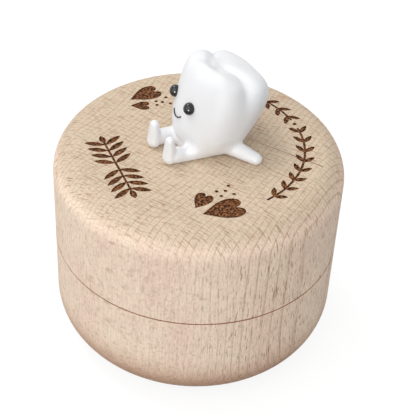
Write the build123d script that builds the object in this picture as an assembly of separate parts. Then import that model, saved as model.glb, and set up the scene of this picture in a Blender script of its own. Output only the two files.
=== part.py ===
from build123d import *
from math import asin, cos, exp, pi, radians, sin
import os

# Turned beech keepsake box for milk teeth with a small sitting tooth figure on its lid.
# Millimetres. The origin is the centre of the underside, +Z is up and the front faces -Y.

# Turned box
box_diameter = 60.0
box_height = 46.1
lid_height = 21.6
top_edge_radius = 5.7
foot_edge_radius = 10.2
seam_round = 0.2
seam_height = box_height - lid_height

# Hollow inside the box
wall_thickness = 8.0
bore_corner_radius = 3.0
floor_thickness = 6.0
ceiling_thickness = 7.0
bore_radius = box_diameter / 2 - wall_thickness

# Spigot that carries the lid, and the recess that drops over it
spigot_wall = 3.6
spigot_height = 6.0
spigot_chamfer = 0.6
spigot_clearance = 0.1
spigot_end_gap = 0.4
spigot_radius = bore_radius + spigot_wall

# Ornament burnt into the flat top
burn_depth = 0.25
burn_width = 0.5
garland_margin = 2.9
garland_radius = box_diameter / 2 - top_edge_radius - garland_margin
garland_start = 15.0
garland_end = 86.0
garland_leaf_pairs = 8
garland_leaf_length = 2.9
garland_leaf_width = 1.1
garland_leaf_angle = 42.0
sprig_inset = 3.2
sprig_distance = garland_radius - sprig_inset
sprig_offset = 1.1
sprig_reach = 8.4
sprig_leaf_pairs = 4
sprig_leaf_length = 4.4
sprig_leaf_width = 1.35
sprig_leaf_angle = 62.0
sprig_end_leaf_share = 0.6
berry_diameter = 0.9
dot_diameter = 0.75

# Tip x, tip y, length and width of each heart, as shares of the garland's radius
heart_shares = [
    (0.953, -0.369, 0.383, 0.266),
    (0.855, -0.397, 0.224, 0.168),
    (-0.916, -0.379, 0.325, 0.222),
    (-0.818, -0.407, 0.180, 0.142),
]
heart_turns = [-2.0, 39.0, 12.0, -20.0]

# Centres of the dots beside the hearts, as shares of the garland's radius
dot_shares = [
    (0.664, 0.009),
    (0.701, -0.126),
    (0.720, -0.047),
    (0.776, -0.112),
    (0.790, 0.009),
    (-0.836, -0.028),
    (-0.804, -0.145),
    (-0.771, -0.089),
    (-0.724, -0.023),
    (-0.743, -0.159),
]

# Half of a heart's outline from its tip to its notch, as shares of its width and length
heart_side_shares = [(0.0, 0.0), (0.20, 0.24), (0.50, 0.46), (0.50, 0.74)]
heart_lobe_shares = [(0.50, 0.74), (0.50, 1.06), (0.10, 1.12), (0.0, 0.84)]

# Place of the figure on the lid, in the box's own frame
figure_x = -1.2
figure_y = 1.5
figure_turn = 8.3

# Tooth-shaped body, leaning back from a flat seat
body_width = 19.8
body_length = 18.0
body_lean = 23.5
body_depth_share = 0.86
bend_end_share = 0.3
cusp_height = 1.3
back_rise = 0.55
side_groove_share = 0.17
front_groove_share = 0.05
groove_width_share = 0.42
body_outline_points = 48

# Height, girth, lobing and crest of each section, from the seat up to the pit between the
# cusps, and how far it drifts to the figure's left and back
body_section_shares = [
    (0.00, 0.61, 0.00, 0.00, 0.000, 0.000),
    (0.05, 0.71, 0.00, 0.00, 0.000, 0.000),
    (0.12, 0.80, 0.00, 0.00, 0.000, 0.000),
    (0.25, 0.88, 0.00, 0.00, 0.000, 0.000),
    (0.48, 0.95, 0.05, 0.00, 0.000, 0.000),
    (0.70, 1.00, 0.35, 0.00, 0.000, 0.000),
    (0.86, 0.98, 1.10, 0.20, 0.000, -0.005),
    (0.955, 0.81, 1.20, 0.60, 0.000, -0.020),
    (0.99, 0.54, 1.10, 1.00, -0.045, -0.040),
    (0.955, 0.27, 0.50, 0.70, -0.111, -0.076),
    (0.93, 0.09, 0.00, 0.00, -0.146, -0.106),
]

# Film of glue under the body, a little inside the seat's edge
glue_thickness = 0.15
glue_margin = 0.2
glue_radius = body_width / 2 * body_section_shares[0][1] * body_depth_share - glue_margin

# Limbs, each pressed a little flat where it lies on the lid
press_flat = 0.2
left_hip_share = 0.2348
right_hip_share = 0.1576
left_hip_x = left_hip_share * body_width
right_hip_x = right_hip_share * body_width
hip_y = -2.0
hip_radius = 1.52
leg_ankle_share = 0.1717
leg_ankle_x = leg_ankle_share * body_width
leg_ankle_y = -8.8
leg_ankle_radius = 1.7
foot_toe_in = 0.25
foot_x = leg_ankle_x - foot_toe_in
foot_y = -10.1
foot_height = 6.2
foot_heel_radius = 1.6
foot_toe_radius = 1.05
foot_depth_share = 0.9
foot_lean = 1.0
arm_root_share = 0.3333
arm_root_x = arm_root_share * body_width
arm_root_y = 2.0
arm_root_z = 2.1
arm_root_radius = 1.85
arm_reach = 4.9
arm_tip_x = arm_root_x + arm_reach
arm_tip_y = 5.1
arm_tip_radius = 1.25

# Face, turned a little against the legs
face_turn = -10.3
eye_spread = 22.7
eye_height_share = 0.432
eye_diameter = 2.35
eye_stretch_share = 1.12
eye_proud = 0.3
smile_height_share = 0.282
smile_depth = 0.55
smile_spread = 11.5
smile_thread_diameter = 0.25


def corner(face, x, y):
    """The corner of a flat outline nearest to a point."""
    return face.vertices().sort_by_distance((x, y))[0]


def rounded(face, x, y, radius):
    """The outline with one corner rounded."""
    return fillet(corner(face, x, y), radius)


def turned(face):
    """A solid turned about the box's axis from a half section."""
    return revolve(Plane.XZ * face, Axis.Z)


def make_base():
    """Lower half: rounded foot, hollow and the spigot that the lid sits on."""
    outer = box_diameter / 2
    spigot_top = seam_height + spigot_height
    section = make_face(
        Polyline(
            (0, 0),
            (outer, 0),
            (outer, seam_height),
            (spigot_radius, seam_height),
            (spigot_radius, spigot_top),
            (bore_radius, spigot_top),
            (bore_radius, floor_thickness),
            (0, floor_thickness),
            close=True,
        )
    )
    section = rounded(section, outer, 0, foot_edge_radius)
    section = rounded(section, outer, seam_height, seam_round)
    section = rounded(section, bore_radius, floor_thickness, bore_corner_radius)
    section = chamfer(corner(section, spigot_radius, spigot_top), spigot_chamfer)
    return turned(section)


def make_lid_blank():
    """Upper half before the ornament: rounded top edge, ceiling and the recess for the spigot."""
    outer = box_diameter / 2
    recess = spigot_radius + spigot_clearance
    recess_top = seam_height + spigot_height + spigot_end_gap
    ceiling = box_height - ceiling_thickness
    section = make_face(
        Polyline(
            (0, ceiling),
            (bore_radius, ceiling),
            (bore_radius, recess_top),
            (recess, recess_top),
            (recess, seam_height),
            (outer, seam_height),
            (outer, box_height),
            (0, box_height),
            close=True,
        )
    )
    section = rounded(section, bore_radius, ceiling, bore_corner_radius)
    section = rounded(section, outer, seam_height, seam_round)
    section = rounded(section, outer, box_height, top_edge_radius)
    return turned(section)


def heart_outline(length, width):
    """A heart with its tip at the origin and its notch towards +Y."""
    halves = []
    for side in (1, -1):
        for share_list in (heart_side_shares, heart_lobe_shares):
            halves.append(Bezier(*[(side * across * width, along * length) for across, along in share_list]))
    return make_face(Curve() + halves)


def leaf_outline(length, width):
    """A pointed leaf with its stalk at the origin, growing towards +X."""
    upper = ThreePointArc((0, 0), (length / 2, width / 2), (length, 0))
    lower = ThreePointArc((length, 0), (length / 2, -width / 2), (0, 0))
    return make_face(Curve() + [upper, lower])


def leaf_pair(length, width, angle):
    """Two leaves that part from one place on a stem that runs towards +X."""
    leaf = leaf_outline(length, width)
    return [Rot(0, 0, angle) * leaf, Rot(0, 0, -angle) * leaf]


def garland_branch():
    """The right half of the garland at the back: a curved stem with pairs of leaves."""
    inner = garland_radius - burn_width / 2
    outer = garland_radius + burn_width / 2
    ring = Circle(outer) - Circle(inner)
    span = garland_end - garland_start
    reach = 2 * garland_radius
    wedge = make_face(
        Polyline(
            (0, 0),
            (reach * cos(radians(garland_start)), reach * sin(radians(garland_start))),
            (reach * cos(radians(garland_end)), reach * sin(radians(garland_end))),
            close=True,
        )
    )
    shapes = [ring & wedge]
    for number in range(garland_leaf_pairs):
        bearing = garland_start + span * (number + 0.5) / garland_leaf_pairs
        place = Rot(0, 0, bearing) * Pos(garland_radius, 0) * Rot(0, 0, 90)
        for leaf in leaf_pair(garland_leaf_length, garland_leaf_width, garland_leaf_angle):
            shapes.append(place * leaf)
    return shapes


def sprig_branch():
    """The right half of the sprig at the front: a straight stem with pairs of leaves and an end leaf."""
    shapes = [Pos(sprig_reach / 2, 0) * Rectangle(sprig_reach, burn_width)]
    for number in range(sprig_leaf_pairs):
        along = sprig_reach * (number + 0.5) / sprig_leaf_pairs
        for leaf in leaf_pair(sprig_leaf_length, sprig_leaf_width, sprig_leaf_angle):
            shapes.append(Pos(along, 0) * leaf)
    end_leaf = leaf_outline(sprig_leaf_length * sprig_end_leaf_share, sprig_leaf_width)
    shapes.append(Pos(sprig_reach - burn_width, 0) * end_leaf)
    return shapes


def mirrored_pair(shapes):
    """The shapes and their mirror images across the YZ plane."""
    return shapes + [mirror(shape, about=Plane.YZ) for shape in shapes]


def ornament():
    """Every burnt shape on the flat top, lying at the height of the origin."""
    shapes = mirrored_pair(garland_branch())
    shapes += [Pos(sprig_offset, -sprig_distance) * shape for shape in mirrored_pair(sprig_branch())]
    shapes.append(Pos(0, garland_radius) * Circle(berry_diameter / 2))
    for (x, y, length, width), turn in zip(heart_shares, heart_turns):
        heart = heart_outline(length * garland_radius, width * garland_radius)
        shapes.append(Pos(x * garland_radius, y * garland_radius) * Rot(0, 0, turn) * heart)
    for x, y in dot_shares:
        shapes.append(Pos(x * garland_radius, y * garland_radius) * Circle(dot_diameter / 2))
    return shapes


def make_lid():
    """The lid with its ornament burnt in as shallow pockets."""
    pockets = [
        Pos(0, 0, box_height - burn_depth) * extrude(shape, 2 * burn_depth) for shape in ornament()
    ]
    return make_lid_blank() - pockets


def on_lid(shape):
    """A shape of the figure's own frame moved to its place on the lid."""
    return Pos(figure_x, figure_y, box_height) * Rot(0, 0, figure_turn) * shape


def spine(height_share):
    """Place and lean of the body's axis at a share of its length: y, z and lean in degrees."""
    lean = body_lean * min(1, height_share / bend_end_share)
    bend_radius = bend_end_share * body_length / radians(body_lean)
    y = bend_radius * (1 - cos(radians(lean)))
    z = bend_radius * sin(radians(lean))
    straight = max(0, height_share - bend_end_share) * body_length
    return y + straight * sin(radians(lean)), z + straight * cos(radians(lean)), lean


def body_point(angle, height_share, girth_share, lobe_share=0, crest_share=0, left_share=0, back_share=0):
    """A point of the body's skin. The angle runs from the figure's left towards its back."""
    side = exp(-((sin(angle) / groove_width_share) ** 2))
    front = exp(-((cos(angle) / groove_width_share) ** 2))
    groove = side_groove_share * side + front_groove_share * front
    radius = body_width / 2 * girth_share * (1 - lobe_share * groove)
    x = radius * cos(angle) + left_share * body_width
    across = radius * sin(angle) * body_depth_share + back_share * body_width
    rise = crest_share * (back_rise * sin(angle) - cusp_height * (side + front / 2))
    y, z, lean = spine(height_share)
    turn_cos, turn_sin = cos(radians(lean)), sin(radians(lean))
    return (
        x,
        y + across * turn_cos + rise * turn_sin,
        glue_thickness + z - across * turn_sin + rise * turn_cos,
    )


def body_section(shares):
    """One closed section of the body."""
    angles = [2 * pi * number / body_outline_points for number in range(body_outline_points)]
    return Wire(Edge.make_spline([body_point(angle, *shares) for angle in angles], periodic=True))


def girth_at(height_share):
    """Girth share between the sections of the body's barrel."""
    for low, high in zip(body_section_shares, body_section_shares[1:]):
        if low[0] <= height_share <= high[0]:
            part = (height_share - low[0]) / (high[0] - low[0])
            return low[1] + part * (high[1] - low[1])
    return 1.0


def face_point(bearing, height_share, proud=0):
    """A point on the face. The bearing is in degrees from the middle of the face to the figure's left."""
    angle = radians(-90 + face_turn + bearing)
    girth_share = girth_at(height_share) + 2 * proud / body_width
    return Vector(*body_point(angle, height_share, girth_share))


def make_body_blank():
    """The tooth-shaped body before the sockets for the eyes and the smile."""
    return Solid.make_loft([body_section(shares) for shares in body_section_shares])


def rod(start, end, start_radius, end_radius):
    """A tapering rod with round ends between two points."""
    axis = Vector(*end) - Vector(*start)
    slope = asin((start_radius - end_radius) / axis.length)
    low = (start_radius * cos(slope), start_radius * sin(slope))
    high = (end_radius * cos(slope), axis.length + end_radius * sin(slope))
    low_turn = (slope - pi / 2) / 2
    high_turn = (slope + pi / 2) / 2
    low_middle = (start_radius * cos(low_turn), start_radius * sin(low_turn))
    high_middle = (end_radius * cos(high_turn), axis.length + end_radius * sin(high_turn))
    outline = [
        ThreePointArc((0, -start_radius), low_middle, low),
        Line(low, high),
        ThreePointArc(high, high_middle, (0, axis.length + end_radius)),
        Line((0, axis.length + end_radius), (0, -start_radius)),
    ]
    solid = revolve(Plane.XZ * make_face(Curve() + outline), Axis.Z)
    return Plane(origin=start, z_dir=axis) * solid


def above_lid(shape):
    """The shape with its underside pressed flat on the lid."""
    return split(shape, bisect_by=Plane.XY, keep=Keep.TOP)


def make_leg(side):
    """A leg that lies on the lid from the hip to the ankle."""
    hip_x = left_hip_x if side > 0 else -right_hip_x
    hip = (hip_x, hip_y, hip_radius - press_flat)
    ankle = (side * leg_ankle_x, leg_ankle_y, leg_ankle_radius - press_flat)
    return above_lid(rod(hip, ankle, hip_radius, leg_ankle_radius))


def make_foot(side):
    """An upright drop-shaped foot that stands on its heel in front of the ankle."""
    heel_z = foot_heel_radius - press_flat
    toe_z = foot_height - foot_toe_radius
    drop = rod((0, 0, heel_z), (0, 0, toe_z), foot_heel_radius, foot_toe_radius)
    drop = Rot(-foot_lean, 0, 0) * scale(drop, (1, foot_depth_share, 1))
    return above_lid(Pos(side * foot_x, foot_y, 0) * drop)


def make_arm(side):
    """An arm that props the figure up, sloping down from the flank to its tip on the lid."""
    root = (side * arm_root_x, arm_root_y, arm_root_z)
    tip = (side * arm_tip_x, arm_tip_y, arm_tip_radius - press_flat)
    return above_lid(rod(root, tip, arm_root_radius, arm_tip_radius))


def make_eye(side):
    """An egg-shaped bead pressed part-way into the face."""
    bead = scale(Sphere(eye_diameter / 2), (1, 1, eye_stretch_share))
    return Pos(face_point(side * eye_spread, eye_height_share, eye_proud)) * bead


def make_smile():
    """A thin curved thread laid into the face below the eyes."""
    drop_share = smile_depth / body_length
    path = ThreePointArc(
        face_point(-smile_spread, smile_height_share),
        face_point(0, smile_height_share - drop_share),
        face_point(smile_spread, smile_height_share),
    )
    return sweep(Plane(origin=path @ 0, z_dir=path % 0) * Circle(smile_thread_diameter / 2), path=path)


def make_glue_film():
    """The film of glue between the lid and the figure's seat."""
    return Pos(0, 0, glue_thickness / 2) * Cylinder(glue_radius, glue_thickness)


def make_figure():
    """Every piece of the figure in its own frame, by name. Limbs meet the body face to face."""
    blank = make_body_blank()
    glue = make_glue_film()
    pieces = {"glue_film": glue}
    sockets = []
    for name, side in (("left", 1), ("right", -1)):
        leg = make_leg(side) - blank
        foot = make_foot(side) - blank - leg
        arm = make_arm(side) - blank
        eye = make_eye(side)
        pieces[f"{name}_leg"] = leg - glue
        pieces[f"{name}_foot"] = foot
        pieces[f"{name}_arm"] = arm - glue
        pieces[f"{name}_eye"] = eye
        sockets.append(eye)
    smile = make_smile()
    pieces["smile"] = smile
    pieces["tooth_body"] = blank - sockets - smile
    return pieces


def main():
    """Write every piece as a STEP file of its own."""
    os.makedirs("parts", exist_ok=True)
    pieces = {"base": make_base(), "lid": make_lid()}
    for name, piece in make_figure().items():
        pieces[name] = on_lid(piece)
    for name, piece in pieces.items():
        export_step(piece, f"parts/{name}.step")


main()
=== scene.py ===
import logging
import math
from dataclasses import dataclass, field
from enum import Enum
from typing import Any, Callable

import bpy
from mathutils import Matrix, Quaternion, Vector


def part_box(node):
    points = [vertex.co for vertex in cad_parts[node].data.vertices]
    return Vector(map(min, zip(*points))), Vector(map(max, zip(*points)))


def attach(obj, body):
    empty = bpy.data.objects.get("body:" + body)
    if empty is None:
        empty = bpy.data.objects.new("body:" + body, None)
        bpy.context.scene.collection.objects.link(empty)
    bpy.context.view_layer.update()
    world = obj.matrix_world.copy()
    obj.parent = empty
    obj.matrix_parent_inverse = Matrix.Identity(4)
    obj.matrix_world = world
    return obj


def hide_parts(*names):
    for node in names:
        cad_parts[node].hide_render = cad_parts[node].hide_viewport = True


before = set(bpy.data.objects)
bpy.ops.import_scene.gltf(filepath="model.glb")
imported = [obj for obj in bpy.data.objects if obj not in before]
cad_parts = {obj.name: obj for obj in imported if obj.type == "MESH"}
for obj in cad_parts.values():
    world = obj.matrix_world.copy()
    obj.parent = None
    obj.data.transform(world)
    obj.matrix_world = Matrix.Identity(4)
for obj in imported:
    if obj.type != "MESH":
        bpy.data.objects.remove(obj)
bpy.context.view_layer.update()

LOG = logging.getLogger("tooth_box")
MILLIMETRE = 0.001
WHITE = (1.0, 1.0, 1.0, 1.0)
# Millimetres by which a vertex has to lie above a level to count as above it
SLACK = 0.01
# Numbers of the sockets of a Mix node for colours, whose names its other kinds share
SHARE, UNDER, OVER, RESULT = 0, 6, 7, 2


class Side(Enum):
    """The figure's own left and right, as signs of X in its frame."""

    LEFT = 1
    RIGHT = -1


class Bound(Enum):
    """Which side of a cylinder around the box's axis, as the test of the distance from it."""

    INSIDE = "LESS_THAN"
    OUTSIDE = "GREATER_THAN"


def hex_to_linear(colour: str) -> tuple[float, float, float, float]:
    """Turn an sRGB hex colour into linear red, green, blue and alpha.

    Args:
        colour: Six hex digits after a hash sign.

    Returns:
        The linear colour, opaque.
    """
    shares = [int(colour[start : start + 2], 16) / 255 for start in (1, 3, 5)]
    linear = [s / 12.92 if s <= 0.04045 else ((s + 0.055) / 1.055) ** 2.4 for s in shares]
    return (*linear, 1.0)


def add_node(
    tree: bpy.types.NodeTree,
    kind: str,
    inputs: dict[str | int, Any] | None = None,
    **settings: Any,
) -> bpy.types.Node:
    """Add one node to a tree.

    Args:
        tree: The node tree.
        kind: The node's type name.
        inputs: A value, or an output socket to link, for each input by name or number.
        settings: The node's own settings.

    Returns:
        The new node.
    """
    node = tree.nodes.new(kind)
    for name, value in settings.items():
        setattr(node, name, value)
    for key, value in (inputs or {}).items():
        if isinstance(value, bpy.types.NodeSocket):
            tree.links.new(value, node.inputs[key])
        else:
            node.inputs[key].default_value = value
    return node


def new_material(name: str) -> tuple[bpy.types.Material, bpy.types.NodeTree, bpy.types.Node]:
    """Start a material with one Principled shader.

    Args:
        name: The material's name.

    Returns:
        The material, its node tree and its shader node.
    """
    material = bpy.data.materials.new(name)
    material.use_nodes = True
    tree = material.node_tree
    tree.nodes.clear()
    shader = add_node(tree, "ShaderNodeBsdfPrincipled")
    add_node(tree, "ShaderNodeOutputMaterial", {"Surface": shader.outputs["BSDF"]})
    return material, tree, shader


def band(
    tree: bpy.types.NodeTree,
    place: bpy.types.Node,
    level: float,
    play: float,
    reach: float,
    bound: Bound,
) -> bpy.types.NodeSocket:
    """Mark a level band of the box, inside or outside a cylinder around its axis.

    Args:
        tree: The material's node tree.
        place: Places in millimetres along the grain's own axes, as three numbers.
        level: Height of the band's middle, in millimetres.
        play: How far the band goes above and below that, in millimetres.
        reach: The cylinder's radius, in millimetres.
        bound: Which side of the cylinder is marked.

    Returns:
        One in the band and nought elsewhere.
    """
    flat = add_node(
        tree, "ShaderNodeCombineXYZ", {"X": place.outputs["X"], "Y": place.outputs["Y"]}
    )
    radius = add_node(tree, "ShaderNodeVectorMath", {0: flat.outputs["Vector"]}, operation="LENGTH")
    aside = add_node(
        tree, "ShaderNodeMath", {0: radius.outputs["Value"], 1: reach}, operation=bound.value
    )
    near = add_node(
        tree, "ShaderNodeMath", {0: place.outputs["Z"], 1: level, 2: play}, operation="COMPARE"
    )
    return add_node(
        tree, "ShaderNodeMath", {0: near.outputs[0], 1: aside.outputs[0]}, operation="MULTIPLY"
    ).outputs[0]


@dataclass(frozen=True)
class Streak:
    """One kind of mark in the wood: noise stretched along the grain, cut off to leave marks.

    Its size is in millimetres: along the rays, along the growth rings, and up the trunk. The
    marks go from bottom to top where the noise goes from low to high.
    """

    size: tuple[float, float, float]
    low: float
    high: float
    bottom: float = 0.0
    top: float = 1.0
    detail: float = 1.0
    seed: float = 0.0

    def lay(self, tree: bpy.types.NodeTree, grain: bpy.types.NodeSocket) -> bpy.types.NodeSocket:
        """Add the marks to a material.

        Args:
            tree: The material's node tree.
            grain: Places in millimetres along the grain's own axes.

        Returns:
            How strongly each place is marked.
        """
        stretched = add_node(
            tree,
            "ShaderNodeMapping",
            {
                "Vector": grain,
                "Location": (self.seed, 2 * self.seed, 3 * self.seed),
                "Scale": tuple(1 / length for length in self.size),
            },
        )
        noise = add_node(
            tree,
            "ShaderNodeTexNoise",
            {"Vector": stretched.outputs["Vector"], "Scale": 1.0, "Detail": self.detail},
        )
        marks = add_node(
            tree,
            "ShaderNodeMapRange",
            {
                "Value": noise.outputs["Fac"],
                "From Min": self.low,
                "From Max": self.high,
                "To Min": self.bottom,
                "To Max": self.top,
            },
            interpolation_type="SMOOTHSTEP",
        )
        return marks.outputs["Result"]


@dataclass(frozen=True)
class BurntWood:
    """Beech scorched by a laser: dark brown, mottled where the grain took the heat unevenly.

    What lies within level_play of the level and within reach of the box's axis is burnt: the
    hollows of the lid's top. These three are in millimetres.
    """

    char_colour: str = "#2A1509"
    scorch_colour: str = "#96613A"
    mottle: Streak = Streak((0.45, 0.45, 0.45), 0.40, 0.62, detail=2.0, seed=29.0)
    level: float = 45.885
    level_play: float = 0.185
    reach: float = 24.4

    def burnt(self, tree: bpy.types.NodeTree, place: bpy.types.Node) -> bpy.types.NodeSocket:
        """Find the hollows of the top: one there and nought elsewhere."""
        return band(tree, place, self.level, self.level_play, self.reach, Bound.INSIDE)

    def lay(
        self,
        tree: bpy.types.NodeTree,
        grain: bpy.types.NodeSocket,
        lines: tuple[bpy.types.NodeSocket, ...],
    ) -> bpy.types.NodeSocket:
        """Mix the colour of the burnt places.

        Args:
            tree: The material's node tree.
            grain: Places in millimetres along the grain's own axes.
            lines: Marks of the wood that scorch darker.

        Returns:
            The burnt wood's colour.
        """
        char = add_node(
            tree,
            "ShaderNodeMix",
            {
                SHARE: self.mottle.lay(tree, grain),
                UNDER: hex_to_linear(self.char_colour),
                OVER: hex_to_linear(self.scorch_colour),
            },
            data_type="RGBA",
        ).outputs[RESULT]
        for line in lines:
            char = add_node(
                tree,
                "ShaderNodeMix",
                {SHARE: line, UNDER: char, OVER: hex_to_linear(self.char_colour)},
                data_type="RGBA",
            ).outputs[RESULT]
        return char


@dataclass(frozen=True)
class SandedBeech:
    """Solid European beech, turned on a lathe and sanded, with no lacquer.

    Its end grain shows growth rings crossed by thin rays. Its sides show upright fibres, with
    the rays as short dark dashes where they are cut end-on and as broad flecks where they are
    cut along. A fine drying check runs along the rays on top. Raw wood hardly shines, so the
    sheen is low, which also keeps the burnt ornament dark.

    Lengths are in millimetres. A pair of shares is for the sides and for end grain. A pair of
    facings is where the change from one cut of the grain to another begins and ends.
    """

    side_colour: str = "#FCE6CF"
    pink_colour: str = "#F8DEC9"
    end_colour: str = "#D2C0A9"
    ring_colour: str = "#AC8664"
    ray_colour: str = "#86502A"
    smudge_colour: str = "#B8855F"
    check_colour: str = "#6E4E38"
    # Dirt and painted shade in the seam between lid and base
    seam_dirt_and_shade_colour: str = "#96603F"
    # Painted shade: the wood browns towards the foot, where less light reaches
    foot_shade_colour: str = "#AA6C40"
    foot_shade_reach: float = 15.5
    foot_shade_share: float = 0.95
    grain_bearing: float = 36.0
    end_facing: tuple[float, float] = (0.30, 0.88)
    flank_facing: tuple[float, float] = (0.55, 0.95)
    flank_share: float = 0.25
    ring_shares: tuple[float, float] = (0.50, 0.55)
    ray_shares: tuple[float, float] = (0.80, 0.58)
    fine_ray_shares: tuple[float, float] = (0.42, 1.0)
    ring_spacing: float = 1.15
    ring_width_share: float = 0.30
    ring_radius: float = 160.0
    wander: Streak = Streak((26.0, 26.0, 90.0), 0.2, 0.8, -0.9, 0.9, detail=2.0, seed=3.0)
    ring_break: Streak = Streak((1.3, 9.0, 14.0), 0.28, 0.60, 0.25, 1.0, detail=2.0, seed=11.0)
    patch: Streak = Streak((11.0, 11.0, 22.0), 0.35, 0.68, detail=3.0, seed=17.0)
    smudge: Streak = Streak((4.4, 3.8, 2.0), 0.64, 0.80, 0.0, 0.5, detail=3.0, seed=23.0)
    # Real rays, fibres and pores are thinner: these are drawn coarser, so that they show.
    ray: Streak = Streak((5.0, 0.24, 2.4), 0.58, 0.71, 0.0, 0.78, seed=5.0)
    fine_ray: Streak = Streak((1.6, 0.2, 0.9), 0.52, 0.74, 0.0, 0.5, seed=7.0)
    fibre: Streak = Streak((0.22, 0.22, 3.0), 0.28, 0.72, 0.92, 1.07, detail=2.0, seed=13.0)
    pore: Streak = Streak((0.3, 0.3, 0.7), 0.25, 0.75, 0.93, 1.06, seed=31.0)
    check_place: float = 7.1
    check_slope: float = -0.034
    check_bend: float = 0.12
    check_width: float = 0.2
    check_start: float = 24.2
    check_middle_share: float = 0.3
    seam_height: float = 24.5
    seam_width: float = 0.3
    seam_reach: float = 29.7
    ior: float = 1.47
    sheen: float = 0.15
    roughness: float = 0.62
    roughness_play: float = 0.06
    relief: float = 0.045
    relief_strength: float = 0.5
    fibre_height: float = 5.0
    mark_depth: float = 0.6

    def build(self, burn: BurntWood | None = None) -> bpy.types.Material:
        """Make the material.

        Args:
            burn: The burnt ornament's finish, for the piece that carries it.

        Returns:
            The material.
        """
        name = "sanded_beech" if burn is None else "sanded_beech_burnt"
        material, tree, shader = new_material(name)
        coordinates = add_node(tree, "ShaderNodeTexCoord")
        turn = (0.0, 0.0, -math.radians(self.grain_bearing))
        grain = add_node(
            tree,
            "ShaderNodeMapping",
            {
                "Vector": coordinates.outputs["Object"],
                "Rotation": turn,
                "Scale": (1 / MILLIMETRE,) * 3,
            },
        ).outputs["Vector"]
        place = add_node(tree, "ShaderNodeSeparateXYZ", {"Vector": grain})
        wander = self.wander.lay(tree, grain)
        ring = self.rings(tree, grain, wander)
        ray = self.ray.lay(tree, grain)
        end_grain, flank = self.facings(tree, coordinates.outputs["Normal"], turn)
        ring_strength, ray_strength, fine_strength = self.strengths(tree, end_grain, flank)
        shares = (
            (self.patch.lay(tree, grain), 1.0, self.pink_colour),
            # Painted shade towards the foot
            (self.foot(tree, place), 1.0, self.foot_shade_colour),
            (end_grain, 1.0, self.end_colour),
            (ring, ring_strength, self.ring_colour),
            (ray, ray_strength, self.ray_colour),
            (self.fine_ray.lay(tree, grain), fine_strength, self.ray_colour),
            (self.smudge.lay(tree, grain), 1.0, self.smudge_colour),
            (self.check(tree, place, wander), end_grain, self.check_colour),
            # Dirt and painted shade in the seam
            (self.seam_dirt_and_shade(tree, place), 1.0, self.seam_dirt_and_shade_colour),
        )
        colour: Any = hex_to_linear(self.side_colour)
        for marks, strength, tone in shares:
            share = add_node(tree, "ShaderNodeMath", {0: marks, 1: strength}, operation="MULTIPLY")
            colour = add_node(
                tree,
                "ShaderNodeMix",
                {SHARE: share.outputs[0], UNDER: colour, OVER: hex_to_linear(tone)},
                data_type="RGBA",
            ).outputs[RESULT]
        fibre = self.fibre.lay(tree, grain)
        for shade in (fibre, self.pore.lay(tree, grain)):
            colour = add_node(
                tree,
                "ShaderNodeMix",
                {SHARE: 1.0, UNDER: colour, OVER: shade},
                data_type="RGBA",
                blend_type="MULTIPLY",
            ).outputs[RESULT]
        if burn is not None:
            char = burn.lay(tree, grain, (ring, ray))
            colour = add_node(
                tree,
                "ShaderNodeMix",
                {SHARE: burn.burnt(tree, place), UNDER: colour, OVER: char},
                data_type="RGBA",
            ).outputs[RESULT]
        tree.links.new(colour, shader.inputs["Base Color"])
        self.roughen(tree, shader, fibre, (ring, ray))
        return material

    def rings(
        self, tree: bpy.types.NodeTree, grain: bpy.types.NodeSocket, wander: bpy.types.NodeSocket
    ) -> bpy.types.NodeSocket:
        """Growth rings: a line that darkens towards the end of each year and stops short.

        Args:
            tree: The material's node tree.
            grain: Places in millimetres along the grain's own axes.
            wander: How far the rings stray, in millimetres.

        Returns:
            How dark each place's ring line is.
        """
        trunk = add_node(
            tree,
            "ShaderNodeMapping",
            {"Vector": grain, "Location": (self.ring_radius, 0, 0), "Scale": (1, 1, 0)},
        )
        radius = add_node(
            tree, "ShaderNodeVectorMath", {0: trunk.outputs["Vector"]}, operation="LENGTH"
        )
        strayed = add_node(
            tree, "ShaderNodeMath", {0: radius.outputs["Value"], 1: wander}, operation="ADD"
        )
        year = add_node(
            tree,
            "ShaderNodeMath",
            {0: strayed.outputs[0], 1: self.ring_spacing, 2: 0.0},
            operation="WRAP",
        )
        line = add_node(
            tree,
            "ShaderNodeMapRange",
            {
                "Value": year.outputs[0],
                "From Min": self.ring_spacing * (1 - self.ring_width_share),
                "From Max": self.ring_spacing,
            },
            interpolation_type="SMOOTHSTEP",
        )
        return add_node(
            tree,
            "ShaderNodeMath",
            {0: line.outputs["Result"], 1: self.ring_break.lay(tree, grain)},
            operation="MULTIPLY",
        ).outputs[0]

    def facings(
        self,
        tree: bpy.types.NodeTree,
        normal: bpy.types.NodeSocket,
        turn: tuple[float, float, float],
    ) -> tuple[bpy.types.NodeSocket, bpy.types.NodeSocket]:
        """How the surface cuts the grain.

        Args:
            tree: The material's node tree.
            normal: The surface's normal.
            turn: The grain's turn about the upright.

        Returns:
            The share of end grain, and the strength of the rays, which fade where they are cut
            along.
        """
        along = add_node(
            tree, "ShaderNodeMapping", {"Vector": normal, "Rotation": turn}, vector_type="NORMAL"
        )
        facing = add_node(
            tree, "ShaderNodeVectorMath", {0: along.outputs["Vector"]}, operation="ABSOLUTE"
        )
        facing = add_node(tree, "ShaderNodeSeparateXYZ", {"Vector": facing.outputs["Vector"]})
        spans = (
            (facing.outputs["Z"], self.end_facing, 0.0, 1.0),
            (facing.outputs["Y"], self.flank_facing, 1.0, self.flank_share),
        )
        end_grain, flank = (
            add_node(
                tree,
                "ShaderNodeMapRange",
                {"Value": value, "From Min": low, "From Max": high, "To Min": start, "To Max": end},
                interpolation_type="SMOOTHSTEP",
            ).outputs["Result"]
            for value, (low, high), start, end in spans
        )
        return end_grain, flank

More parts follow.
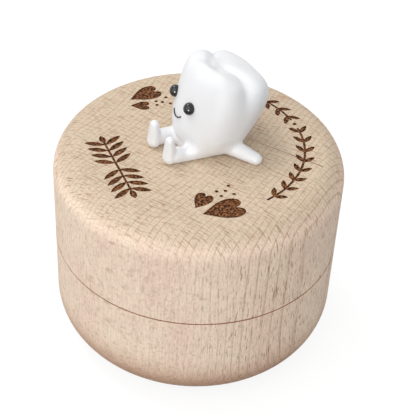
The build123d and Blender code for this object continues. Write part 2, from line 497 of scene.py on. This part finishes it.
    def strengths(
        self, tree: bpy.types.NodeTree, end_grain: bpy.types.NodeSocket, flank: bpy.types.NodeSocket
    ) -> tuple[bpy.types.NodeSocket, ...]:
        """How strongly the marks show on the sides and on end grain.

        Args:
            tree: The material's node tree.
            end_grain: The share of end grain.
            flank: The strength of the rays, which fade where they are cut along.

        Returns:
            The strengths of the rings, the rays and the fine rays.
        """
        side_rings = add_node(
            tree, "ShaderNodeMath", {0: flank, 1: self.ring_shares[0]}, operation="MULTIPLY"
        ).outputs[0]
        pairs = ((side_rings, self.ring_shares[1]), self.ray_shares, self.fine_ray_shares)
        rings, rays, fine_rays = (
            add_node(
                tree, "ShaderNodeMapRange", {"Value": end_grain, "To Min": side, "To Max": end}
            ).outputs["Result"]
            for side, end in pairs
        )
        rays = add_node(tree, "ShaderNodeMath", {0: flank, 1: rays}, operation="MULTIPLY")
        return rings, rays.outputs[0], fine_rays

    def foot(self, tree: bpy.types.NodeTree, place: bpy.types.Node) -> bpy.types.NodeSocket:
        """Painted shade: brown that deepens towards the foot, where less light reaches.

        Args:
            tree: The material's node tree.
            place: Places in millimetres along the grain's own axes, as three numbers.

        Returns:
            How brown each place is.
        """
        return add_node(
            tree,
            "ShaderNodeMapRange",
            {
                "Value": place.outputs["Z"],
                "From Min": self.foot_shade_reach,
                "From Max": 0.0,
                "To Max": self.foot_shade_share,
            },
            interpolation_type="SMOOTHSTEP",
        ).outputs["Result"]

    def check(
        self, tree: bpy.types.NodeTree, place: bpy.types.Node, wander: bpy.types.NodeSocket
    ) -> bpy.types.NodeSocket:
        """A hair-thin drying check along the rays, which fades towards the box's middle.

        Args:
            tree: The material's node tree.
            place: Places in millimetres along the grain's own axes, as three numbers.
            wander: How far the rings stray, in millimetres, which bends the check too.
        """
        level = add_node(
            tree,
            "ShaderNodeMath",
            {0: place.outputs["X"], 1: self.check_slope, 2: place.outputs["Y"]},
            operation="MULTIPLY_ADD",
        )
        bent = add_node(
            tree,
            "ShaderNodeMath",
            {0: wander, 1: self.check_bend, 2: level.outputs[0]},
            operation="MULTIPLY_ADD",
        )
        line = add_node(
            tree,
            "ShaderNodeMath",
            {0: bent.outputs[0], 1: self.check_place, 2: self.check_width / 2},
            operation="COMPARE",
        )
        fading = add_node(
            tree,
            "ShaderNodeMapRange",
            {
                "Value": place.outputs["X"],
                "From Max": self.check_start,
                "To Min": self.check_middle_share,
            },
        )
        short = add_node(
            tree,
            "ShaderNodeMath",
            {0: place.outputs["X"], 1: self.check_start},
            operation="LESS_THAN",
        )
        kept = line.outputs[0]
        for share in (fading.outputs["Result"], short.outputs[0]):
            kept = add_node(
                tree, "ShaderNodeMath", {0: kept, 1: share}, operation="MULTIPLY"
            ).outputs[0]
        return kept

    def seam_dirt_and_shade(self, tree: bpy.types.NodeTree, place: bpy.types.Node) -> bpy.types.NodeSocket:
        """Find where the lid meets the base, darkened by dirt and painted shade: one there and
        nought elsewhere.
        """
        play = self.seam_width / 2
        return band(tree, place, self.seam_height, play, self.seam_reach, Bound.OUTSIDE)

    def roughen(
        self,
        tree: bpy.types.NodeTree,
        shader: bpy.types.Node,
        fibre: bpy.types.NodeSocket,
        dips: tuple[bpy.types.NodeSocket, ...],
    ) -> None:
        """Give the surface its sanded feel: fibres stand up, rings and rays sink in.

        Args:
            tree: The material's node tree.
            shader: The material's shader.
            fibre: The fibres.
            dips: The marks that lie lower.
        """
        roughness = add_node(
            tree,
            "ShaderNodeMapRange",
            {
                "Value": fibre,
                "From Min": self.fibre.bottom,
                "From Max": self.fibre.top,
                "To Min": self.roughness - self.roughness_play,
                "To Max": self.roughness + self.roughness_play,
            },
        )
        height = add_node(
            tree, "ShaderNodeMath", {0: fibre, 1: self.fibre_height}, operation="MULTIPLY"
        ).outputs[0]
        for dip in dips:
            height = add_node(
                tree,
                "ShaderNodeMath",
                {0: dip, 1: -self.mark_depth, 2: height},
                operation="MULTIPLY_ADD",
            ).outputs[0]
        bump = add_node(
            tree,
            "ShaderNodeBump",
            {
                "Height": height,
                "Strength": self.relief_strength,
                "Distance": self.relief * MILLIMETRE,
            },
        )
        tree.links.new(roughness.outputs["Result"], shader.inputs["Roughness"])
        tree.links.new(bump.outputs["Normal"], shader.inputs["Normal"])
        shader.inputs["IOR"].default_value = self.ior
        shader.inputs["Specular IOR Level"].default_value = self.sheen


@dataclass(frozen=True)
class PlainFinish:
    """A finish of one colour with a slightly uneven gloss.

    Soft noise, spot_width millimetres wide, carries the roughness from its first value to its
    second where the noise crosses noise_span. The same noise dents the surface by the relief,
    in millimetres, where there is one.
    """

    name: str
    colour: str
    roughness: tuple[float, float]
    spot_width: float
    detail: float = 1.0
    fineness: float = 0.5
    noise_span: tuple[float, float] = (0.0, 1.0)
    ior: float = 1.5
    relief: float = 0.0
    relief_strength: float = 0.35

    def build(self) -> bpy.types.Material:
        """Make the material.

        Returns:
            The material.
        """
        material, tree, shader = new_material(self.name)
        coordinates = add_node(tree, "ShaderNodeTexCoord")
        noise = add_node(
            tree,
            "ShaderNodeTexNoise",
            {
                "Vector": coordinates.outputs["Object"],
                "Scale": 1 / (self.spot_width * MILLIMETRE),
                "Detail": self.detail,
                "Roughness": self.fineness,
            },
        ).outputs["Fac"]
        roughness = add_node(
            tree,
            "ShaderNodeMapRange",
            {
                "Value": noise,
                "From Min": self.noise_span[0],
                "From Max": self.noise_span[1],
                "To Min": self.roughness[0],
                "To Max": self.roughness[1],
            },
        )
        tree.links.new(roughness.outputs["Result"], shader.inputs["Roughness"])
        if self.relief:
            bump = add_node(
                tree,
                "ShaderNodeBump",
                {
                    "Height": noise,
                    "Strength": self.relief_strength,
                    "Distance": self.relief * MILLIMETRE,
                },
            )
            tree.links.new(bump.outputs["Normal"], shader.inputs["Normal"])
        shader.inputs["Base Color"].default_value = hex_to_linear(self.colour)
        shader.inputs["IOR"].default_value = self.ior
        return material


@dataclass(frozen=True)
class WhiteClay(PlainFinish):
    """White modelling clay, smoothed by hand and cured: satin, with faint soft dents."""

    name: str = "white_modelling_clay"
    colour: str = "#E8E9EB"
    roughness: tuple[float, float] = (0.45, 0.57)
    spot_width: float = 2.4
    detail: float = 2.0
    fineness: float = 0.45
    noise_span: tuple[float, float] = (0.3, 0.7)
    relief: float = 0.12


@dataclass(frozen=True)
class BlackGlass(PlainFinish):
    """A moulded black glass bead: a clear mirror-like gloss over black."""

    name: str = "black_glass"
    colour: str = "#101012"
    roughness: tuple[float, float] = (0.03, 0.06)
    spot_width: float = 0.5
    ior: float = 1.55


@dataclass(frozen=True)
class BlackThread(PlainFinish):
    """A hair-thin roll of black clay: dull, a little uneven."""

    name: str = "black_clay_thread"
    colour: str = "#1E1A1A"
    roughness: tuple[float, float] = (0.5, 0.7)
    spot_width: float = 0.3


@dataclass(frozen=True)
class SetGlue(PlainFinish):
    """Clear craft glue, set: yellowish and smooth, with small swirls."""

    name: str = "set_glue"
    colour: str = "#DDD6C6"
    roughness: tuple[float, float] = (0.3, 0.6)
    spot_width: float = 1.5
    detail: float = 2.0


def dress(piece: bpy.types.Object, material: bpy.types.Material) -> None:
    """Give a piece one material.

    Args:
        piece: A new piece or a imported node.
        material: Its finish.
    """
    piece.data.materials.clear()
    piece.data.materials.append(material)
    for polygon in piece.data.polygons:
        polygon.material_index = 0


def deselect_all() -> None:
    """Leave no object selected, so that an operator acts on new work alone."""
    bpy.ops.object.select_all(action="DESELECT")


def make_active(piece: bpy.types.Object) -> None:
    """Select one object alone and make it active.

    Args:
        piece: The object.
    """
    deselect_all()
    piece.select_set(True)
    bpy.context.view_layer.objects.active = piece


def select_vertices(piece: bpy.types.Object, wanted: Callable[[Vector], bool]) -> None:
    """Select a mesh's vertices by place, and leave the piece in edit mode.

    Args:
        piece: The mesh object.
        wanted: Says whether a place is selected.
    """
    make_active(piece)
    bpy.ops.object.mode_set(mode="EDIT")
    bpy.ops.mesh.select_mode(type="VERT")
    bpy.ops.mesh.select_all(action="DESELECT")
    bpy.ops.object.mode_set(mode="OBJECT")
    for vertex in piece.data.vertices:
        vertex.select = wanted(vertex.co)
    bpy.ops.object.mode_set(mode="EDIT")


def apply_modifier(piece: bpy.types.Object, name: str, kind: str, **settings: Any) -> None:
    """Add a modifier and apply it at once.

    Args:
        piece: The mesh object.
        name: The modifier's name.
        kind: The modifier's type.
        settings: The modifier's settings.
    """
    make_active(piece)
    modifier = piece.modifiers.new(name, kind)
    for key, value in settings.items():
        setattr(modifier, key, value)
    bpy.ops.object.modifier_apply(modifier=name)


@dataclass
class TurnedBox:
    """The two turned halves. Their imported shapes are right, so they keep them."""

    base_node: str = "base"
    lid_node: str = "lid"

    def dress(self) -> None:
        """Give both halves their wood."""
        dress(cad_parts[self.base_node], SandedBeech().build())
        dress(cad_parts[self.lid_node], SandedBeech().build(BurntWood()))
        LOG.info("box: %s and %s dressed in beech", self.base_node, self.lid_node)


@dataclass(frozen=True)
class Section:
    """One ring of the tooth's body, some way up its length.

    Lobing is how deeply the grooves press it in, and crest how far its cusps rise. It is
    shifted in millimetres, and its left groove is turned in degrees.
    """

    share: float
    girth: float
    lobing: float = 0.0
    crest: float = 0.0
    shift_x: float = 0.0
    shift_y: float = 0.0
    turn: float = 0.0


@dataclass(frozen=True)
class Dab:
    """A fingertip's touch, in millimetres: where, how far it reaches and how far it pulls."""

    place: tuple[float, float, float]
    reach: float
    pull: float


@dataclass
class ToothFigure:
    """The sitting tooth: body, legs, feet and arms, smoothed into one skin.

    Lengths are in millimetres and angles in degrees, in the figure's own frame: its seat is at
    the origin, it faces -Y and its own left is +X. Its front left cusp, the near one, is lower.
    """

    name: str = "tooth_figure"
    body: str = "lid"
    slot: str = "white_clay"
    turn: float = 8.3
    seat_height: float = 0.15
    width: float = 19.8
    depth_share: float = 0.86
    length: float = 18.0
    lean: float = 23.5
    bend_share: float = 0.3
    cusp_height: float = 1.3
    back_rise: float = 0.55
    side_groove: float = 0.17
    front_groove: float = 0.05
    back_groove: float = 0.03
    front_dip: float = 0.5
    back_dip: float = 0.1
    front_groove_width: float = 0.30
    back_groove_width: float = 0.22
    groove_sharpness: float = 1.5
    near_drop: float = 0.4
    near_bearing: float = -42.0
    near_spread: float = 38.0
    ring_points: int = 64
    sections: tuple[Section, ...] = (
        Section(0.00, 0.61),
        Section(0.05, 0.71),
        Section(0.12, 0.80),
        Section(0.25, 0.88),
        Section(0.48, 0.95, 0.05),
        Section(0.70, 1.00, 0.35),
        Section(0.86, 0.98, 1.10, 0.20, 0.0, -0.1, -6.5),
        Section(0.955, 0.81, 1.20, 0.60, 0.0, -0.4, -7.0),
        Section(0.99, 0.54, 1.10, 1.00, -0.9, -0.8),
        Section(0.955, 0.27, 0.50, 0.70, -2.2, -1.5),
        Section(0.93, 0.09, 0.00, 0.00, -2.9, -2.1),
    )
    body_levels: int = 2
    limb_segments: int = 32
    limb_rings: int = 16
    press: float = 0.2
    hips: tuple[float, float] = (5.2, -3.0)
    hip_y: float = 1.0
    hip_radius: float = 1.45
    lap: tuple[float, float, float] = (2.2, -4.2, 1.3)
    lap_radius: float = 2.2
    thigh: tuple[float, float, float] = (4.6, -4.0, 2.0)
    thigh_radius: float = 1.6
    thigh_length: float = 0.5
    smoothing: float = 0.5
    body_passes: int = 14
    feet_passes: int = 7
    stroked: tuple[tuple[float, float, float], ...] = (
        (5.4, -4.8, 3.0),
        (4.5, -6.0, 3.0),
        (6.6, 0.5, 3.5),
    )
    stroke_reach: float = 2.6
    strokes: int = 260
    dab_spread: float = 3.0
    dabs: tuple[Dab, ...] = (
        Dab((-0.7, -0.9, 18.0), 1.5, 0.32),
        Dab((0.8, -1.9, 17.7), 1.0, -0.30),
        Dab((0.8, 2.3, 17.5), 1.6, -0.90),
        Dab((-0.6, 3.6, 16.8), 1.8, -0.45),
        Dab((4.9, 0.4, 17.9), 1.8, 0.30),
        Dab((-3.2, 0.0, 18.3), 1.8, -0.50),
        Dab((-1.7, 9.0, 15.6), 2.5, -0.35),
        Dab((1.5, 9.5, 15.0), 2.5, -0.35),
        Dab((4.3, -6.4, 3.0), 1.3, -0.58),
        Dab((4.0, -6.7, 3.1), 1.2, -0.35),
        Dab((4.5, -6.0, 3.3), 1.2, -0.25),
        Dab((3.5, -7.7, 3.0), 0.9, 0.25),
        Dab((5.2, -5.6, 4.0), 1.5, 0.30),
    )
    ankle: tuple[float, float, float] = (3.4, -8.8, 1.7)
    heel: tuple[float, float, float] = (3.15, -10.1, 1.6)
    toe_radius: float = 1.05
    foot_height: float = 6.2
    foot_depth_share: float = 0.9
    arm_root: tuple[float, float, float] = (6.6, 2.0, 2.1)
    arm_root_radius: float = 1.85
    arm_tip: tuple[float, float] = (11.5, 5.1)
    arm_tip_radius: float = 1.25
    voxel: float = 0.18
    replaced: tuple[str, ...] = (
        "tooth_body",
        "left_leg",
        "right_leg",
        "left_foot",
        "right_foot",
        "left_arm",
        "right_arm",
    )
    parts: list[bpy.types.Object] = field(default_factory=list)

    def spine(self, share: float) -> tuple[Vector, float]:
        """Place and lean of the body's axis.

        Args:
            share: How far up the body's length.

        Returns:
            The place on the axis, and the lean in radians.
        """
        full = math.radians(self.lean)
        lean = full * min(1.0, share / self.bend_share)
        radius = self.bend_share * self.length / full
        straight = max(0.0, share - self.bend_share) * self.length
        along = Vector((0, math.sin(lean), math.cos(lean))) * straight
        back, up = radius * (1 - math.cos(lean)), radius * math.sin(lean)
        foot = Vector((0, back, self.seat_height + up))
        return foot + along, lean

    def make_body(self) -> bpy.types.Object:
        """Extrude the body ring by ring from its seat, then press in its grooves and cusps.

        Returns:
            The body's mesh object.
        """
        centre, lean = self.spine(0.0)
        deselect_all()
        bpy.ops.mesh.primitive_circle_add(
            vertices=self.ring_points,
            radius=self.width / 2 * self.sections[0].girth,
            fill_type="NGON",
            location=centre,
        )
        body = bpy.context.object
        bpy.ops.object.transform_apply(location=True, rotation=False, scale=False)
        bpy.ops.object.mode_set(mode="EDIT")
        bpy.ops.mesh.select_all(action="SELECT")
        bpy.ops.transform.resize(value=(1, self.depth_share, 1), center_override=centre)
        for below, section in zip(self.sections, self.sections[1:]):
            above, above_lean = self.spine(section.share)
            bpy.ops.mesh.extrude_region_move(TRANSFORM_OT_translate={"value": above - centre})
            growth = section.girth / below.girth
            bpy.ops.transform.resize(value=(growth,) * 3, center_override=above)
            if above_lean != lean:
                bpy.ops.transform.rotate(
                    value=above_lean - lean, orient_axis="X", center_override=above
                )
            centre, lean = above, above_lean
        bpy.ops.object.mode_set(mode="OBJECT")
        self.press_crown(body)
        apply_modifier(
            body, "soften", "SUBSURF", levels=self.body_levels, render_levels=self.body_levels
        )
        return body

    def press_crown(self, body: bpy.types.Object) -> None:
        """Push each ring in at its grooves and raise it at its cusps.

        Args:
            body: The body as extruded, ring after ring.
        """
        for vertex in body.data.vertices:
            section = self.sections[vertex.index // self.ring_points]
            centre, lean = self.spine(section.share)
            local = Matrix.Rotation(lean, 3, "X") @ (vertex.co - centre)
            angle = math.atan2(local.y / self.depth_share, local.x)
            turn = math.radians(section.turn) * max(0.0, math.cos(angle))
            across = math.sin(angle - turn)
            width = self.front_groove_width if across < 0 else self.back_groove_width
            side = math.exp(-abs(across / width) ** self.groove_sharpness)
            middle = math.exp(-((math.cos(angle) / self.front_groove_width) ** 2))
            if math.sin(angle) < 0:
                middle_groove, middle_dip = self.front_groove, self.front_dip
            else:
                middle_groove, middle_dip = self.back_groove, self.back_dip
            near = math.exp(-(((math.degrees(angle) - self.near_bearing) / self.near_spread) ** 2))
            groove = self.side_groove * side + middle_groove * middle
            pressed = local * (1 - section.lobing * groove)
            pressed.x += section.shift_x
            pressed.y += section.shift_y
            pressed.z += section.crest * (
                self.back_rise * math.sin(angle)
                - self.cusp_height * (side + middle_dip * middle)
                - self.near_drop * near
            )
            vertex.co = centre + Matrix.Rotation(-lean, 3, "X") @ pressed

    def make_rod(
        self, start: Vector, end: Vector, start_radius: float, end_radius: float
    ) -> bpy.types.Object:
        """Stretch a ball into a tapering limb with round ends.

        Args:
            start: Centre of the first end.
            end: Centre of the other end.
            start_radius: Radius at the first end.
            end_radius: Radius at the other end.

        Returns:
            The limb's mesh object.
        """
        reach = end - start
        deselect_all()
        bpy.ops.mesh.primitive_uv_sphere_add(
            segments=self.limb_segments,
            ring_count=self.limb_rings,
            radius=start_radius,
            location=(0, 0, 0),
        )
        limb = bpy.context.object
        select_vertices(limb, lambda place: place.z > SLACK)
        bpy.ops.transform.translate(value=(0, 0, reach.length))
        taper = end_radius / start_radius
        bpy.ops.transform.resize(value=(taper,) * 3, center_override=(0, 0, reach.length))
        bpy.ops.object.mode_set(mode="OBJECT")
        way = reach.to_track_quat("Z", "Y").to_matrix().to_4x4()
        limb.data.transform(Matrix.Translation(start) @ way)
        self.parts.append(limb)
        return limb

    def make_leg(self, side: Side) -> None:
        """A leg that lies on the lid from the hip to the ankle.

        Args:
            side: Which leg.
        """
        hip_x = self.hips[0] if side is Side.LEFT else self.hips[1]
        ankle_x, ankle_y, ankle_radius = self.ankle
        self.make_rod(
            Vector((hip_x, self.hip_y, self.hip_radius - self.press)),
            Vector((side.value * ankle_x, ankle_y, ankle_radius - self.press)),
            self.hip_radius,
            ankle_radius,
        )

    def make_foot(self, side: Side) -> None:
        """An upright drop-shaped foot in front of the ankle.

        Args:
            side: Which foot.
        """
        x, y, radius = self.heel
        heel = Vector((side.value * x, y, radius - self.press))
        toe = Vector((side.value * x, y, self.foot_height - self.toe_radius))
        foot = self.make_rod(heel, toe, radius, self.toe_radius)
        select_vertices(foot, lambda place: True)
        bpy.ops.transform.resize(value=(1, self.foot_depth_share, 1), center_override=heel)
        bpy.ops.object.mode_set(mode="OBJECT")

    def make_arm(self, side: Side) -> None:
        """An arm that props the figure up, sloping down from the flank to its tip on the lid.

        Args:
            side: Which arm.
        """
        root_x, root_y, root_z = self.arm_root
        tip_x, tip_y = self.arm_tip
        self.make_rod(
            Vector((side.value * root_x, root_y, root_z)),
            Vector((side.value * tip_x, tip_y, self.arm_tip_radius - self.press)),
            self.arm_root_radius,
            self.arm_tip_radius,
        )

    def make_lap(self) -> None:
        """Fill the front between the legs and above the near thigh."""
        x, y, z = self.lap
        self.make_rod(Vector((-x, y, z)), Vector((x, y, z)), self.lap_radius, self.lap_radius)
        thigh = Vector(self.thigh)
        behind = thigh + Vector((0, self.thigh_length, 0))
        self.make_rod(thigh, behind, self.thigh_radius, self.thigh_radius)

    def fuse(self, passes: int) -> bpy.types.Object:
        """Join the parts made so far into one closed skin and smooth the creases between them.

        Args:
            passes: How many times the skin is smoothed.

        Returns:
            The joined mesh object.
        """
        deselect_all()
        for part in self.parts:
            part.select_set(True)
        skin = self.parts[0]
        bpy.context.view_layer.objects.active = skin
        if len(self.parts) > 1:
            bpy.ops.object.join()
        voxels = {"mode": "VOXEL", "voxel_size": self.voxel, "use_smooth_shade": True}
        apply_modifier(skin, "fuse", "REMESH", **voxels)
        apply_modifier(skin, "smooth", "SMOOTH", factor=self.smoothing, iterations=passes)
        self.parts = [skin]
        return skin

    def stroke_smooth(self, skin: bpy.types.Object) -> None:
        """Stroke the clay smooth where the near leg and arm meet the body.

        Args:
            skin: The figure's fused skin.
        """
        centres = [Vector(place) for place in self.stroked]
        select_vertices(
            skin,
            lambda place: any((place - centre).length < self.stroke_reach for centre in centres),
        )
        bpy.ops.mesh.vertices_smooth(factor=self.smoothing, repeat=self.strokes)
        bpy.ops.object.mode_set(mode="OBJECT")

    def touch_up(self, skin: bpy.types.Object) -> None:
        """Pull or press the clay a little on the crown and by the near leg, as with a fingertip.

        Args:
            skin: The figure's fused skin.
        """
        places = [vertex.co.copy() for vertex in skin.data.vertices]
        facings = [vertex.normal.copy() for vertex in skin.data.vertices]
        for dab in self.dabs:
            centre = Vector(dab.place)
            for place, facing in zip(places, facings):
                away = (place - centre).length
                if away < self.dab_spread * dab.reach:
                    place += facing * dab.pull * math.exp(-((away / dab.reach) ** 2))
        skin.data.vertices.foreach_set("co", [number for place in places for number in place])
        skin.data.update()

    def press_on_lid(self, skin: bpy.types.Object) -> None:
        """Cut the skin flat where the limbs lie on the lid.

        Args:
            skin: The figure's fused skin.
        """
        select_vertices(skin, lambda place: True)
        bpy.ops.mesh.bisect(
            plane_co=(0, 0, 0), plane_no=(0, 0, 1), use_fill=True, clear_inner=True
        )
        bpy.ops.object.mode_set(mode="OBJECT")

    def build(self) -> bpy.types.Object:
        """Make the whole figure and put it in its place on the lid.

        Returns:
            The figure's skin, in metres in the part's own frame.
        """
        self.parts = [self.make_body()]
        self.make_lap()
        for side in Side:
            self.make_leg(side)
            self.make_arm(side)
        skin = self.fuse(self.body_passes)
        self.stroke_smooth(skin)
        for side in Side:
            self.make_foot(side)
        skin = self.fuse(self.feet_passes)
        self.touch_up(skin)
        self.press_on_lid(skin)
        low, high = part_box("glue_film")
        seat = Vector(((low.x + high.x) / 2, (low.y + high.y) / 2, low.z))
        turn = Matrix.Rotation(math.radians(self.turn), 4, "Z")
        skin.data.transform(Matrix.Translation(seat) @ turn @ Matrix.Scale(MILLIMETRE, 4))
        skin.name = self.name
        skin.data.name = self.name
        skin.data.shade_smooth()
        dress(skin, WhiteClay().build())
        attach(skin, self.body)
        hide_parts(*self.replaced)
        LOG.info("%s: %d faces", self.name, len(skin.data.polygons))
        return skin


@dataclass
class Face:
    """The bead eyes and the smile."""

    beads: tuple[str, str] = ("left_eye", "right_eye")
    smile: str = "smile"
    glue: str = "glue_film"

    def build(self) -> None:
        """Dress the beads, the smile and the film of glue."""
        bead = BlackGlass().build()
        for node in self.beads:
            dress(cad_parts[node], bead)
        dress(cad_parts[self.smile], BlackThread().build())
        dress(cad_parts[self.glue], SetGlue().build())
        LOG.info("face: %s and %s dressed", ", ".join(self.beads), self.smile)


@dataclass(frozen=True)
class Lamp:
    """A square soft light that faces the object.

    Its energy is in watts, its size and distance in metres, its bearing in degrees from the
    front (-Y) towards +X and its height in degrees above the floor.
    """

    name: str
    energy: float
    size: float
    bearing: float
    height: float
    distance: float
    lights_matte: bool = True


@dataclass
class Studio:
    """Floor, soft lights, white surroundings and the camera."""

    floor_size: float = 6.0
    floor_colour: str = "#808080"
    floor_glow: float = 0.84
    backdrop: float = 1.0
    ambient: float = 0.65
    lamps: tuple[Lamp, ...] = (
        Lamp("key", energy=9.3, size=1.6, bearing=40.0, height=28.0, distance=1.1),
        Lamp("rear", energy=2.7, size=0.4, bearing=-60.0, height=62.0, distance=0.9),
        # The bright spots in the bead eyes: it lights nothing matte
        Lamp(
            "glint",
            energy=0.7,
            size=0.07,
            bearing=55.0,
            height=2.0,
            distance=0.3,
            lights_matte=False,
        ),
    )
    lens: float = 103.7
    sensor_width: float = 36.0
    clip: tuple[float, float] = (0.01, 20.0)
    aim: tuple[float, float, float] = (0.00097, 0.00211, 0.02932)
    distance: float = 0.25508
    azimuth: float = 65.318
    elevation: float = 40.12
    roll: float = 3.257

    def direction(self, azimuth: float, elevation: float) -> Vector:
        """The way from the object to a place around it.

        Args:
            azimuth: Degrees from the front (-Y) towards +X.
            elevation: Degrees above the floor.

        Returns:
            A unit vector.
        """
        turn, rise = math.radians(azimuth), math.radians(elevation)
        return Vector(
            (math.cos(rise) * math.sin(turn), -math.cos(rise) * math.cos(turn), math.sin(rise))
        )

    def make_floor(self) -> None:
        """A pale floor that shows as white and keeps the object's shadow."""
        deselect_all()
        bpy.ops.mesh.primitive_plane_add(size=self.floor_size, location=(0, 0, 0))
        floor = bpy.context.object
        floor.name = "floor"
        material = bpy.data.materials.new("pale_floor")
        material.use_nodes = True
        tree = material.node_tree
        tree.nodes.clear()
        paper = add_node(
            tree, "ShaderNodeBsdfDiffuse", {"Color": hex_to_linear(self.floor_colour)}
        )
        glow = add_node(
            tree,
            "ShaderNodeEmission",
            {"Color": WHITE, "Strength": self.seen(tree, self.floor_glow)},
        )
        both = add_node(
            tree, "ShaderNodeAddShader", {0: paper.outputs["BSDF"], 1: glow.outputs["Emission"]}
        )
        add_node(tree, "ShaderNodeOutputMaterial", {"Surface": both.outputs["Shader"]})
        dress(floor, material)

    def seen(
        self, tree: bpy.types.NodeTree, strength: float, otherwise: float = 0.0
    ) -> bpy.types.NodeSocket:
        """A strength that only what is seen directly, in gloss or through glass has.

        Args:
            tree: The node tree.
            strength: The strength there.
            otherwise: The strength for all other light.

        Returns:
            The socket with the strength.
        """
        path = add_node(tree, "ShaderNodeLightPath")
        ways = path.outputs["Is Glossy Ray"]
        for way in ("Is Transmission Ray", "Is Camera Ray"):
            ways = add_node(
                tree, "ShaderNodeMath", {0: path.outputs[way], 1: ways}, operation="MAXIMUM"
            ).outputs[0]
        return add_node(
            tree,
            "ShaderNodeMapRange",
            {"Value": ways, "To Min": otherwise, "To Max": strength},
        ).outputs["Result"]

    def make_world(self) -> None:
        """White surroundings that light the object softly."""
        world = bpy.data.worlds.new("white_surroundings")
        bpy.context.scene.world = world
        world.use_nodes = True
        tree = world.node_tree
        tree.nodes.clear()
        background = add_node(
            tree,
            "ShaderNodeBackground",
            {"Color": WHITE, "Strength": self.seen(tree, self.backdrop, self.ambient)},
        )
        add_node(tree, "ShaderNodeOutputWorld", {"Surface": background.outputs["Background"]})

    def make_lamp(self, lamp: Lamp) -> None:
        """Hang one lamp in its place, facing the object.

        Args:
            lamp: The lamp.
        """
        data = bpy.data.lights.new(lamp.name, "AREA")
        data.energy = lamp.energy
        data.size = lamp.size
        light = bpy.data.objects.new(lamp.name, data)
        bpy.context.scene.collection.objects.link(light)
        way = self.direction(lamp.bearing, lamp.height)
        light.location = Vector(self.aim) + way * lamp.distance
        light.rotation_mode = "QUATERNION"
        light.rotation_quaternion = (-way).to_track_quat("-Z", "Y")
        light.visible_diffuse = lamp.lights_matte

    def make_camera(self) -> None:
        """The camera at the photograph's place, turned a little about its own axis."""
        data = bpy.data.cameras.new("camera")
        data.lens = self.lens
        data.sensor_width = self.sensor_width
        data.clip_start, data.clip_end = self.clip
        camera = bpy.data.objects.new("camera", data)
        bpy.context.scene.collection.objects.link(camera)
        way = self.direction(self.azimuth, self.elevation)
        camera.location = Vector(self.aim) + way * self.distance
        camera.rotation_mode = "QUATERNION"
        level = (-way).to_track_quat("-Z", "Y")
        camera.rotation_quaternion = level @ Quaternion((0, 0, 1), math.radians(self.roll))
        bpy.context.scene.camera = camera

    def build(self) -> None:
        """Set the stage."""
        self.make_camera()
        self.make_floor()
        self.make_world()
        for lamp in self.lamps:
            self.make_lamp(lamp)
        bpy.context.scene.view_settings.view_transform = "Standard"
        LOG.info("studio: camera, floor and lights set")


def main() -> None:
    """Build the box, the figure and the studio in order."""
    logging.basicConfig(level=logging.INFO, format="%(name)s: %(message)s")
    Studio().build()
    TurnedBox().dress()
    ToothFigure().build()
    Face().build()
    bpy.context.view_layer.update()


if __name__ == "__main__":
    main()
